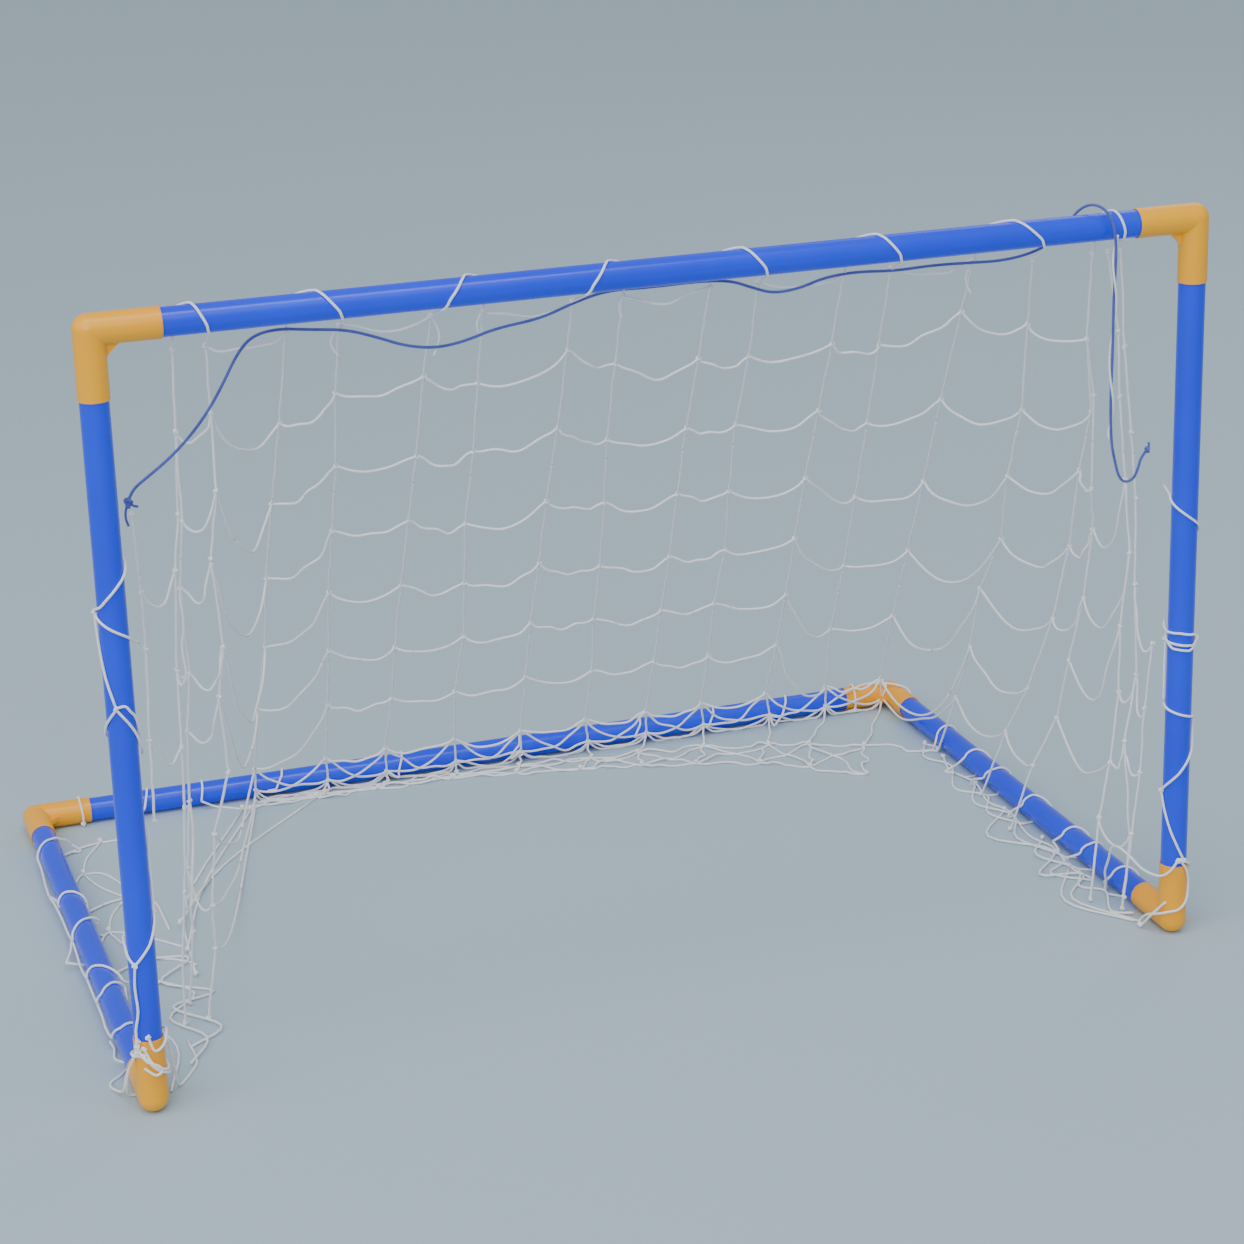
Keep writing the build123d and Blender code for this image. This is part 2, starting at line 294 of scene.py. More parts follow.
# ---------------------------------------------------------------- twine mesh building
class Mesher:
    """Collects tubes and knots as one mesh, with U round the twine and V along it, both in millimetres."""

    def __init__(self):
        self.points = []
        self.faces = []
        self.uvs = []
        self.count = 0

    def tube(self, line, radius, sides=8, capped=True):
        line = np.array(line, float)
        line[:, 2] = np.maximum(line[:, 2], radius)
        steps = np.diff(line, axis=0)
        lengths = np.linalg.norm(steps, axis=1)
        keep = np.concatenate(([True], lengths > 1e-6))
        line = line[keep]
        if len(line) < 2:
            return
        tangents = np.gradient(line, axis=0)
        tangents /= np.linalg.norm(tangents, axis=1)[:, None] + 1e-12
        side = np.cross(tangents[0], (0.3, 0.5, 0.81))
        side /= np.linalg.norm(side)
        run = 0.0
        angles = np.arange(sides) * 2 * pi / sides
        girth = 2 * pi * radius / MM
        first = self.count
        along = []
        for index, (centre, tangent) in enumerate(zip(line, tangents)):
            side = side - tangent * side.dot(tangent)
            side /= np.linalg.norm(side)
            other = np.cross(tangent, side)
            ring = centre + radius * (np.outer(np.cos(angles), side) + np.outer(np.sin(angles), other))
            self.points.append(ring)
            if index:
                run += np.linalg.norm(line[index] - line[index - 1]) / MM
            along.append(run)
        for ring_index in range(len(line) - 1):
            low = first + ring_index * sides
            high = low + sides
            for k in range(sides):
                after = (k + 1) % sides
                self.faces.append((low + k, low + after, high + after, high + k))
                u0 = girth * k / sides
                u1 = girth * (k + 1) / sides
                v0 = along[ring_index]
                v1 = along[ring_index + 1]
                self.uvs.extend(((u0, v0), (u1, v0), (u1, v1), (u0, v1)))
        self.count += len(line) * sides
        if capped:
            last = self.count - sides
            self.faces.append(tuple(first + k for k in reversed(range(sides))))
            self.faces.append(tuple(last + k for k in range(sides)))
            for end_v in (0.0, run):
                self.uvs.extend([(0.0, end_v)] * sides)

    def knot(self, centre, size, turn, radius=TWINE * 0.95):
        """An overhand lump: a small trefoil of twine, drawn tight and kept above the floor."""
        centre = np.array(centre, float)
        centre[2] = max(centre[2], size * 1.5 + radius)
        t = np.linspace(0, 2 * pi, 25)
        loop = np.stack((
            np.sin(t) + 2 * np.sin(2 * t),
            np.cos(t) - 2 * np.cos(2 * t),
            -np.sin(3 * t) * 1.3,
        ), axis=1) * size / 3
        self.tube(loop @ turn.T + centre, radius, sides=7, capped=False)

    def make(self, name, material):
        mesh = bpy.data.meshes.new(name)
        points = np.concatenate(self.points)
        mesh.from_pydata(points.tolist(), [], self.faces)
        layer = mesh.uv_layers.new(name="along")
        layer.data.foreach_set("uv", np.array(self.uvs, np.float32).ravel())
        mesh.polygons.foreach_set("use_smooth", [True] * len(mesh.polygons))
        mesh.materials.append(material)
        mesh.update()
        made = bpy.data.objects.new(name, mesh)
        bpy.context.scene.collection.objects.link(made)
        return made


def random_turn(source):
    """A random rotation matrix."""
    q = source.normal(size=4)
    w, x, y, z = q / np.linalg.norm(q)
    return np.array((
        (1 - 2 * (y * y + z * z), 2 * (x * y - w * z), 2 * (x * z + w * y)),
        (2 * (x * y + w * z), 1 - 2 * (x * x + z * z), 2 * (y * z - w * x)),
        (2 * (x * z - w * y), 2 * (y * z + w * x), 1 - 2 * (x * x + y * y)),
    ))


def smooth_line(points, pieces=4):
    """A Catmull-Rom line through the points, cut into that many pieces per gap."""
    p = np.asarray(points, float)
    ends = np.vstack((2 * p[0] - p[1], p, 2 * p[-1] - p[-2]))
    out = []
    for i in range(1, len(ends) - 2):
        a, b, c, d = ends[i - 1:i + 3]
        for t in np.arange(pieces) / pieces:
            out.append(0.5 * (2 * b + (c - a) * t + (2 * a - 5 * b + 4 * c - d) * t ** 2
                              + (3 * b - a - 3 * c + d) * t ** 3))
    out.append(p[-1])
    return np.array(out)


# ---------------------------------------------------------------- the net's knots
# Sloping back. The strands are tied to the crossbar in pairs and spread towards the rear rail, in millimetres
BAR_LEFT = -310  # X of the first and the last strand at the crossbar, before they are drawn into pairs
BAR_RIGHT = 250
RAIL_LEFT = -235  # the same at the rear rail
RAIL_RIGHT = 440
PAIR_PULL = 8
FIRST_ROW = 140  # mean distance down the slope to the first and the last row of knots
LAST_ROW = 835
strand_rng = np.random.default_rng(11)
back_names = [f"b{number}" for number in range(2, 13)]
back_strands = {}
for place, name in enumerate(back_names):
    share = place / (len(back_names) - 1)
    pull = -PAIR_PULL if place % 2 else PAIR_PULL
    top_x = BAR_LEFT + (BAR_RIGHT - BAR_LEFT) * share + pull
    foot_x = RAIL_LEFT + (RAIL_RIGHT - RAIL_LEFT) * share + strand_rng.normal() * 5
    rows = 6 if name in ("b2", "b11", "b12") else 7
    first = FIRST_ROW + strand_rng.normal() * 20
    back_strands[name] = (top_x, foot_x, first, (LAST_ROW - first) / (rows - 1), rows)
SLOPE = 878.2  # from the crossbar's middle to the rear rail's, down the slope, in millimetres
TOP_START = 30.0  # how far down it the strands start
knots = {}
bars = []


def add_knot(name, point):
    knots[name] = np.array(point, float)


def add_bar(first, last, slack=1.0, wave=0.0):
    bars.append((first, last, slack, wave))


def slope_point(x, s):
    return mm(x, FRONT_LINE + s / sqrt(2), TOP_LINE - s / sqrt(2))


for name, (top_x, foot_x, first, pitch, rows) in back_strands.items():
    add_knot(name + "_0", slope_point(top_x + (foot_x - top_x) * TOP_START / SLOPE, TOP_START))
    for row in range(1, rows + 1):
        s = first + pitch * (row - 1) + rng.normal(0, 4)
        x = top_x + (foot_x - top_x) * s / SLOPE + rng.normal(0, 1.5)
        add_knot(f"{name}_{row}", slope_point(x, s))
        add_bar(f"{name}_{row - 1}", f"{name}_{row}")

# Foot of each back strand: a knot on the rear rail's front, then two on the floor, further out to the right
RAIL_KNOT_Y = 297.5
RAIL_KNOT_Z = 12
NEAR_Y = 293  # the two rows on the floor, where they start at the left
FAR_Y = 283
NEAR_OUT = 90  # how much further forward they lie at the right
FAR_OUT = 150
NEAR_SIDE = 55  # and how far they are drawn back towards the left there
FAR_SIDE = 80
for place, name in enumerate(back_names):
    share = place / (len(back_names) - 1)
    foot_x = back_strands[name][1]
    near = (foot_x - 4 - NEAR_SIDE * share ** 4, NEAR_Y - NEAR_OUT * share ** 3, 1)
    far = (foot_x - 10 - FAR_SIDE * share ** 3, FAR_Y - FAR_OUT * share ** 2.5, 1)
    before = f"{name}_{back_strands[name][4]}"
    for row, spot in enumerate(((foot_x, RAIL_KNOT_Y, RAIL_KNOT_Z), near, far)):
        here = f"{name}_f{row}"
        drift = (0, 0, 0) if row == 0 else (strand_rng.normal() * 4, strand_rng.normal() * 3, 0)
        add_knot(here, mm(*spot) + mm(*drift))
        add_bar(before, here, 1.0 if row == 0 else 1.06, 1.5 * MM)
        before = here

# Strands across the back, slack and wavy
for left, right in zip(back_names, back_names[1:]):
    rows = min(back_strands[left][4], back_strands[right][4])
    for row in range(1, rows + 1):
        add_bar(f"{left}_{row}", f"{right}_{row}", 1.012 + 0.085 * rng.random() ** 2, 3 * MM)
    for row in range(3):
        add_bar(f"{left}_f{row}", f"{right}_f{row}", 1.05 + 0.07 * rng.random(), 4 * MM)
    add_bar(f"{left}_f0", f"{right}_f0", 1.16, 5 * MM)
    add_bar(f"{left}_{back_strands[left][4]}", f"{right}_f0", 1.05, 4 * MM)
    add_bar(f"{left}_f0", f"{right}_{back_strands[right][4]}", 1.06, 4 * MM)
    add_bar(f"{left}_f1", f"{right}_f2", 1.05, 4 * MM)
    add_bar(f"{left}_f2", f"{right}_f1", 1.07, 4 * MM)
for left, right in (("b3", "b4"), ("b5", "b6"), ("b7", "b8"), ("b9", "b10"), ("b11", "b12")):
    add_bar(f"{left}_0", f"{right}_0", 1.015, 0.0)

# Side strands. Each is a bowed line, in millimetres: its top, or the knot that it shares, its foot, the bow's
# reach in X and Y, and the number of meshes down it
BAR_BACK = -289
BAR_UNDER = 607
ON_FLOOR = 1
side_strands = {
    "r13": ((317, BAR_BACK, BAR_UNDER), (438, 160, ON_FLOOR), (17, 0), 8),
    "r14": ((370, BAR_BACK, BAR_UNDER), (428, 35, ON_FLOOR), (23, -18), 8),
    "ra": ("r14_1", (416, -55, ON_FLOOR), (30, -10), 8),
    "rb": ((384, BAR_BACK, BAR_UNDER), (412, -230, ON_FLOOR), (30, 8), 9),
    "rc": ((396, BAR_BACK, BAR_UNDER), (428, -260, ON_FLOOR), (15, 12), 8),
    "rd": ((438, -284, 260), (424, -270, 20), (3, 2), 4),
    "l1": ((-361, BAR_BACK, BAR_UNDER), (-378, -170, ON_FLOOR), (11, 2), 10),
    "l0": ((-386, BAR_BACK, BAR_UNDER), (-387, -135, ON_FLOOR), (7, 2), 9),
    "lk": ("l0_1", (-398, -172, ON_FLOOR), (0, 5), 8),
    "lb": ((-426, -288, 484), (-428, -290, 236), (12, 30), 4),
}
for name, (start, end, (bow_x, bow_y), rows) in side_strands.items():
    shares_top = isinstance(start, str)
    top = knots[start] if shares_top else mm(*start)
    foot = mm(*end)
    for row in range(rows + 1):
        share = row / rows
        drift = rng.normal(size=3) * (3, 3, 7) * MM if 0 < row < rows else np.zeros(3)
        place = top + (foot - top) * share + mm(bow_x, bow_y, 0) * 4 * share * (1 - share) + drift
        add_knot(f"{name}_{row}", place)
    for row in range(1, rows + 1):
        upper = start if shares_top and row == 1 else f"{name}_{row - 1}"
        add_bar(upper, f"{name}_{row}", 1.004, 1.0 * MM)

side_links = [
    ("b12_1", "r13_1", 1.12), ("b12_2", "r13_2", 1.14), ("b12_3", "r13_3", 1.14), ("b12_4", "r13_4", 1.15),
    ("b12_5", "r13_5", 1.15), ("b12_6", "r13_6", 1.12), ("b12_f0", "r13_7", 1.05), ("b12_f1", "r13_8", 1.1),
    ("r13_1", "r14_1", 1.06), ("r13_2", "r14_2", 1.2), ("r13_3", "r14_3", 1.16), ("r13_4", "r14_4", 1.18),
    ("r13_5", "r14_5", 1.14), ("r13_6", "r14_6", 1.12), ("r13_7", "r14_7", 1.08), ("r14_7", "ra_7", 1.06),
    ("r14_3", "ra_2", 1.3), ("r14_4", "ra_3", 1.25), ("r14_5", "ra_4", 1.2), ("ra_4", "rb_4", 1.3),
    ("ra_5", "rb_5", 1.35), ("ra_3", "rb_3", 1.25), ("ra_6", "rb_7", 1.15), ("rb_6", "rc_5", 1.35),
    ("rb_7", "rc_6", 1.3), ("rc_5", "rd_1", 1.8), ("rc_6", "rd_2", 1.35), ("rc_4", "rd_0", 1.5),
    ("rb_8", "rc_7", 1.5), ("rc_7", "rd_3", 1.4),
    ("b2_1", "l1_1", 1.15), ("b2_2", "l1_2", 1.14), ("b2_3", "l1_3", 1.12), ("b2_4", "l1_4", 1.1),
    ("b2_5", "l1_5", 1.06), ("b2_6", "l1_7", 1.03), ("b2_f0", "l1_8", 1.02), ("b2_f1", "l1_9", 1.03),
    ("b2_0", "l1_0", 1.04), ("l1_1", "l0_1", 1.5), ("l1_2", "l0_2", 1.4), ("l1_3", "l0_3", 1.6),
    ("l1_4", "l0_4", 1.5), ("l1_5", "l0_5", 1.4), ("l0_3", "lk_3", 1.4), ("l0_4", "lk_3", 1.3),
    ("lk_4", "lb_3", 1.15), ("lk_6", "l0_6", 1.5), ("lk_2", "lb_1", 1.5), ("l0_7", "l1_8", 1.4),
]
for first, last, slack in side_links:
    add_bar(first, last, slack, 4 * MM)

# ---------------------------------------------------------------- hanging the twine
SEGMENTS = 14
TIGHT = 1.01  # bars with no more spare length than this carry the net's weight and stay straight
STEPS = 260
SWEEPS = 8  # corrections of the lengths in each step
GRAVITY = 0.00012  # fall added in each step, in metres
DAMPING = 0.9
STIFFNESS = 0.06  # share of each bend that is straightened in a sweep
CARRY = 0.8  # share of a correction that stays as speed


def hang_bars():
    """Lets every bar hang between its knots, with gravity, some stiffness, the tubes and the floor."""
    count = len(bars)
    chain = np.zeros((count, SEGMENTS + 1, 3))
    rest = np.zeros(count)
    share = np.linspace(0, 1, SEGMENTS + 1)
    for index, (first, last, slack, wave) in enumerate(bars):
        a = knots[first]
        b = knots[last]
        chain[index] = a + (b - a) * share[:, None]
        rest[index] = np.linalg.norm(b - a) * slack / SEGMENTS
        if wave:
            for harmonic in (1, 2, 3):
                push = rng.normal(size=3) * wave / harmonic
                chain[index] += np.sin(pi * harmonic * share)[:, None] * push
    speed = np.zeros_like(chain)
    weight = np.ones((1, SEGMENTS + 1, 1))
    weight[:, 0] = 0
    weight[:, -1] = 0
    tight = np.array([slack <= TIGHT for first, last, slack, wave in bars])
    weight = np.repeat(weight, count, axis=0)
    pull = np.zeros((count, 1, 3))
    pull[~tight, 0, 2] = -GRAVITY
    for step in range(STEPS):
        speed = (speed + pull * weight) * DAMPING
        chain = chain + speed
        before = chain.copy()
        for sweep in range(SWEEPS):
            for parity in (0, 1):
                a = chain[:, parity:-1:2]
                b = chain[:, parity + 1::2]
                if a.shape[1] > b.shape[1]:
                    a = a[:, :b.shape[1]]
                gap = b - a
                length = np.linalg.norm(gap, axis=2, keepdims=True) + 1e-12
                wa = weight[:, parity:-1:2][:, :a.shape[1]]
                wb = weight[:, parity + 1::2][:, :a.shape[1]]
                fix = gap / length * (length - rest[:, None, None]) / (wa + wb + 1e-9)
                chain[:, parity:-1:2][:, :a.shape[1]] += fix * wa
                chain[:, parity + 1::2] -= fix * wb
            middle = (chain[:, :-2] + chain[:, 2:]) / 2
            chain[:, 1:-1] += (middle - chain[:, 1:-1]) * STIFFNESS
            keep_clear(chain, weight)
        speed += (chain - before) * CARRY * weight
    for index in range(count):
        size = 0.25 * MM if tight[index] else 1.3 * MM
        for harmonic in (2, 3, 5):
            push = rng.normal(size=3) * size / sqrt(harmonic)
            chain[index] += np.sin(pi * harmonic * share)[:, None] * push
    for sweep in range(3):
        keep_clear(chain, weight)
    return chain


cylinders = [
    ((-HALF_WIDTH, FRONT_Y, TOP_Z), (HALF_WIDTH, FRONT_Y, TOP_Z)),
    ((-HALF_WIDTH, BACK_Y, RAIL_Z), (HALF_WIDTH, BACK_Y, RAIL_Z)),
    ((-HALF_WIDTH, FRONT_Y, RAIL_Z), (-HALF_WIDTH, FRONT_Y, TOP_Z)),
    ((HALF_WIDTH, FRONT_Y, RAIL_Z), (HALF_WIDTH, FRONT_Y, TOP_Z)),
    ((-HALF_WIDTH, FRONT_Y, RAIL_Z), (-HALF_WIDTH, BACK_Y, RAIL_Z)),
    ((HALF_WIDTH, FRONT_Y, RAIL_Z), (HALF_WIDTH, BACK_Y, RAIL_Z)),
]


def keep_clear(chain, weight):
    """Pushes twine out of the tubes and up off the floor."""
    for start, end in np.array(cylinders):
        axis = (end - start) / np.linalg.norm(end - start)
        offset = chain - start
        radial = offset - (offset @ axis)[..., None] * axis
        distance = np.linalg.norm(radial, axis=2, keepdims=True) + 1e-12
        deep = np.clip(TUBE + TWINE * 1.15 - distance, 0, None)
        chain += radial / distance * deep * weight
    chain[..., 2] = np.maximum(chain[..., 2], TWINE)


chain = hang_bars()

# ---------------------------------------------------------------- net meshes, cut into top, middle and bottom pieces
UPPER = 0.43
LOWER = 0.20
REAR_START = 0.10
sides_of_net = {"b": "back", "l": "left_side", "r": "right_side"}
levels = ("top", "middle", "bottom")
net_pieces = {(side, level): Mesher() for side in sides_of_net.values() for level in levels}


def piece_for(side, point):
    if point[2] > UPPER:
        return net_pieces[side, "top"]
    if point[2] < LOWER and point[1] > REAR_START:
        return net_pieces[side, "bottom"]
    return net_pieces[side, "middle"]


def lay_line(side, line, radius=TWINE, sides=8):
    """Adds a line of twine, cut where it passes from one piece of net to the next."""
    groups = []
    for point in line:
        owner = piece_for(side, point)
        if groups and groups[-1][0] is owner:
            groups[-1][1].append(point)
        else:
            if groups:
                groups[-1][1].append(point)
            groups.append((owner, [point]))
    for owner, run in groups:
        owner.tube(run, radius, sides)


post_strand = Mesher()
post_link = Mesher()
for line, (first, last, slack, wave) in zip(chain, bars):
    if first.startswith("lb_") and last.startswith("lb_") and max(knots[first][2], knots[last][2]) < UPPER:
        post_strand.tube(smooth_line(line, 2), TWINE)
    elif (first, last) == ("lk_4", "lb_3"):
        post_link.tube(smooth_line(line, 2), TWINE)
    else:
        lay_line(sides_of_net[first[0]], smooth_line(line, 2))
for name, place in knots.items():
    side = sides_of_net[name[0]]
    owner = piece_for(side, place)
    if name.startswith("lb_") and place[2] < UPPER:
        owner = post_strand
    owner.knot(place, KNOT, random_turn(rng))


# ---------------------------------------------------------------- twine round the tubes
def round_tube(start, axis, zero, places, gap=0.2):
    """Points hugging a tube, given as millimetres along it, degrees round it and perhaps extra out."""
    start = np.array(start, float)
    axis = np.array(axis, float)
    zero = np.array(zero, float)
    quarter = np.cross(axis, zero)
    line = []
    for place in places:
        along, angle = place[:2]
        out = place[2] if len(place) > 2 else 0.0
        reach = TUBE + TWINE + (gap + out) * MM
        turn = radians(angle)
        line.append(start + axis * along * MM + (zero * cos(turn) + quarter * sin(turn)) * reach)
    return line


def fill_angles(places, step=18.0):
    """Adds places between those given so that a line goes round the tube and not through it."""
    filled = [tuple(places[0]) + (0.0,) * (3 - len(places[0]))]
    for place in places[1:]:
        place = tuple(place) + (0.0,) * (3 - len(place))
        before = filled[-1]
        parts = max(1, int(abs(place[1] - before[1]) / step))
        for part in range(1, parts + 1):
            t = part / parts
            filled.append(tuple(b + (p - b) * t for b, p in zip(before, place)))
    return filled


# Crossbar loops: from the strand behind the bar, over it and down its front to the strand it is knotted to
crossbar_loops = (("l0", "l1"), ("b2", "b3"), ("b5", "b4"), ("b7", "b6"), ("b8", "b9"), ("b10", "b11"),
                  ("b12", "r13"), ("r14", "rb"))
LOOP_PEAK = 0.45  # how far along the loop it crosses the top of the bar
bar_loops = Mesher()
bar_start = (0, FRONT_Y, TOP_Z)
for behind, front in crossbar_loops:
    behind_knot = knots[behind + "_0"]
    front_knot = knots[front + "_0"]
    behind_x = behind_knot[0] / MM
    front_x = front_knot[0] / MM
    top_x = behind_x + (front_x - behind_x) * LOOP_PEAK
    lean = (front_x - top_x) * 0.35
    over = fill_angles([(behind_x, 202), (behind_x + (top_x - behind_x) * 0.6, 235), (top_x, 270),
                        (top_x + lean, 325), (top_x + lean * 2, 372), (top_x + lean * 2.6, 428)])
    hug = round_tube(bar_start, (1, 0, 0), (0, -1, 0), over)
    line = [behind_knot, behind_knot * 0.5 + hug[0] * 0.5, *hug, hug[-1] * 0.4 + front_knot * 0.6, front_knot]
    bar_loops.tube(smooth_line(line, 3), TWINE)
    bar_loops.knot(front_knot, KNOT * 1.15, random_turn(rng))

# Loose tails curling down from some of the strands' ties
for name, curl, drop in (("b3", -7, 24), ("b4", 6, 32), ("b5", -5, 22), ("b7", -3, 18), ("b12", -6, 28)):
    share = np.linspace(0, 1, 5)
    tail = np.stack((curl * np.sin(3 * share), 2 * share, -drop * share), axis=1) * MM
    bar_loops.tube(smooth_line(knots[name + "_0"] + tail, 4), TWINE * 0.9)

# White twine twisted round the cord where it hangs
HANG_TOP = 0.631
HANG_FOOT = 0.455
HANG_SIDE = 0.366  # between these two the cord hangs almost straight
HANG_OUTER = 0.380
bare_line = make_cord_curve("cord_line", cord_route, 0.0, cord_blue)
line_mesh = bpy.data.meshes.new_from_object(bare_line)
cord_points = np.array([tuple(vertex.co) for vertex in line_mesh.vertices])
bpy.data.objects.remove(bare_line)
bpy.data.meshes.remove(line_mesh)
hangs = (cord_points[:, 0] > HANG_SIDE) & (cord_points[:, 2] < HANG_TOP) & (cord_points[:, 2] > HANG_FOOT)
twisted = cord_points[hangs & (cord_points[:, 0] < HANG_OUTER)]
turns = np.linspace(0, 5 * pi, len(twisted))
beside = (CORD + TWINE) * np.stack((np.cos(turns), np.sin(turns), 0 * turns), axis=1)
bar_loops.tube(twisted + beside, TWINE * 0.8)

# The cord's knots: a drawn-up lump and two frayed tails at the tie, a small lump at the loose end
tie_point = mm(-428, -290, 494)
end_point = mm(418.5, -300.5, 438.5)
tie_tails = [
    [(-428, -290, 494), (-430.5, -291, 488), (-431, -291.5, 482), (-429.5, -292, 476)],
    [(-428, -290, 494), (-424.5, -290.5, 491), (-421, -291, 490)],
]
tie_knot = Mesher()
tie_knot.knot(tie_point, 2.9 * MM, random_turn(rng), CORD)
tie_knot.knot(tie_point - mm(0.5, 0.5, 2.5), 2.3 * MM, random_turn(rng), CORD * 0.9)
for tail in tie_tails:
    tie_knot.tube(smooth_line(mm(*zip(*tail)).T, 4), CORD * 0.85)
end_knot = Mesher()
end_knot.knot(end_point, 2.3 * MM, random_turn(rng), CORD)
end_tail = [end_point, end_point + mm(2, 0.5, 3.5), end_point + mm(1.5, 0.8, 6.5)]
end_knot.tube(smooth_line(end_tail, 4), CORD * 0.8)

# Posts: wraps and the knots where they meet. Millimetres up, degrees from the front towards +X, extra out
post_wraps = {
    "left": [
        [(470, 168, 6), (462, 140, 1), (452, 82), (440, 20), (424, -50), (419, -98, 0.6)],
        [(418, -98, 0.6), (408, -30), (396, 60), (391, 95, 2), (386, 118, 10)],
        [(418, -98, 0.6), (395, -84), (368, -55), (344, -22, 0.8)],
        [(344, -22, 0.8), (345, 8), (334, 50), (318, 90), (306, 135, 4)],
        [(343, -22, 0.8), (330, 20), (310, 78), (298, 120, 5)],
        [(343, -22, 0.8), (334, -55), (322, -100), (312, -150, 3)],
        [(236, 128, 7), (215, 100), (190, 88), (168, 78), (148, 28), (131, -34, 0.8)],
        [(131, -34, 0.8), (139, -70), (146, -105), (150, -150, 4)],
    ],
    "right": [
        [(404, -150, 9), (399, -119, 0.5), (386, -30), (371, 61), (360, 120)],
        [(284, -150, 4), (279, -110), (280, -30), (277, 40), (272, 70), (268, 30), (270, -50),
         (271, -119)],
        [(275, -119, 0.4), (266, -60), (264, 10), (270, 66), (276, 140), (280, 200)],
        [(271, -119), (250, -112, 0.5), (230, -108, 0.5), (213, -118)],
        [(213, -118), (208, -40), (202, 50), (194, 70), (174, 56), (152, -20), (134, -98, 0.8)],
    ],
}
post_knots = {"left": [(418, -98), (344, -22), (131, -34)], "right": [(272, 70), (271, -119), (134, -98)]}
# Twine from the lowest wrap down to the bunch at the foot, which has to give when the post is pulled up
post_leads = {
    "left": [(131, -34, 0.8), (112, -42, 0.5), (92, -36, 1), (76, -48, 2.0), (62, -46, 2.6)],
    "right": [(134, -98, 0.8), (120, -80), (98, -42), (72, 10, 1.4)],
}
post_pieces = {}
lead_pieces = {}
for side, sign in (("left", -1), ("right", 1)):
    wraps = Mesher()
    post_start = (sign * HALF_WIDTH, FRONT_Y, 0)
    for wrap in post_wraps[side]:
        wraps.tube(smooth_line(round_tube(post_start, (0, 0, 1), (0, -1, 0), fill_angles(wrap)), 3), TWINE)
    for place in post_knots[side]:
        centre = round_tube(post_start, (0, 0, 1), (0, -1, 0), [(*place, 0.9)])[0]
        wraps.knot(centre, KNOT, random_turn(rng))
    post_pieces[side] = wraps
    lead = Mesher()
    line = smooth_line(round_tube(post_start, (0, 0, 1), (0, -1, 0), fill_angles(post_leads[side])), 3)
    lead.tube(line, TWINE)
    lead.knot(line[-1], KNOT, random_turn(rng))
    lead_pieces[side] = lead

# Side rails: loops over the rail, and twine along its side on the floor. Millimetres along Y from the middle,
# degrees from the top towards the inside, extra out
rail_wraps = {
    "left": [
        [(236, 96, 10), (228, 60, 2), (220, 10), (213, -50), (206, -92, 1), (185, -98, 1), (150, -99, 3),
         (120, -98, 4)],
        [(120, -98, 4), (95, -97, 2), (60, -98, 1), (30, -96, 1), (10, -92), (16, -40), (26, 20),
         (34, 80, 4)],
        [(10, -92), (-20, -97, 1), (-48, -97, 2), (-70, -94, 1), (-72, -40), (-84, 20), (-98, 78, 2)],
        [(10, -93, 1), (-8, -98, 5), (-27, -99, 12)],
        [(-70, -94, 1), (-98, -97, 1), (-122, -95, 1), (-126, -50), (-116, 10), (-112, 70, 1)],
        [(-122, -95, 1), (-150, -97, 1), (-172, -96, 2), (-195, -90, 1), (-202, -30), (-196, 40),
         (-190, 85)],
        [(90, -92), (92, -30), (86, 30), (82, 85)],
    ],
    "right": [
        [(158, 98, 4), (163, 80), (166, 20), (168, -60), (170, -96)],
        [(100, 98, 6), (96, 70, 1), (95, 0), (88, -60), (84, -96)],
        [(60, 99, 8), (48, 85, 2), (42, 20), (40, -60), (36, -95)],
        [(-28, 99, 6), (-34, 75), (-35, 0), (-46, -60), (-52, -96)],
        [(-112, 98, 5), (-118, 70), (-120, 0), (-128, -60), (-134, -95)],
        [(-150, 99, 9), (-158, 80, 1), (-161, 15), (-158, -60), (-154, -95)],
        [(-214, 98, 4), (-218, 70), (-220, 0), (-226, -60), (-230, -95)],
    ],
}
rail_pieces = {}
loose_ends = {"left_side": [], "right_side": [], "back": []}
for side, sign in (("left", -1), ("right", 1)):
    wraps = Mesher()
    rail_start = (sign * HALF_WIDTH, 0, RAIL_Z)
    for wrap in rail_wraps[side]:
        places = [(along, angle * sign, *rest) for along, angle, *rest in fill_angles(wrap)]
        places = [(along, -turn, *rest) for along, turn, *rest in places]
        line = smooth_line(round_tube(rail_start, (0, 1, 0), (0, 0, 1), places), 3)
        line[:, 2] = np.maximum(line[:, 2], TWINE)
        wraps.tube(line, TWINE)
        loose_ends[side + "_side"].extend((line[0], line[-1]))
    rail_pieces[side] = wraps

# Rear rail: meshes that run round it. Millimetres along X, degrees from the top towards the front
rear_wraps = [
    [(-346, 96, 3), (-342, 40), (-338, -30), (-334, -95)],
    [(-290, 97, 4), (-287, 50), (-285, -20), (-282, -95)],
    [(-215, 96, 3), (-207, 40), (-203, -40), (-200, -95)],
    [(-90, 97, 3), (-84, 40), (-82, -30), (-78, -96)],
    [(28, 96, 4), (38, 60), (42, -10), (44, -95)],
    [(160, 97, 3), (168, 50), (172, -20), (175, -96)],
    [(240, 96, 5), (248, 50), (252, -20), (256, -95)],
    [(322, 97, 3), (329, 40), (333, -30), (338, -95)],
]
rear_loops = Mesher()
for wrap in rear_wraps:
    places = [(along, angle, *rest) for along, angle, *rest in fill_angles(wrap)]
    line = smooth_line(round_tube((0, BACK_Y, RAIL_Z), (1, 0, 0), (0, 0, 1), places), 3)
    line[:, 2] = np.maximum(line[:, 2], TWINE)
    rear_loops.tube(line, TWINE)
    loose_ends["back"].append(line[0])

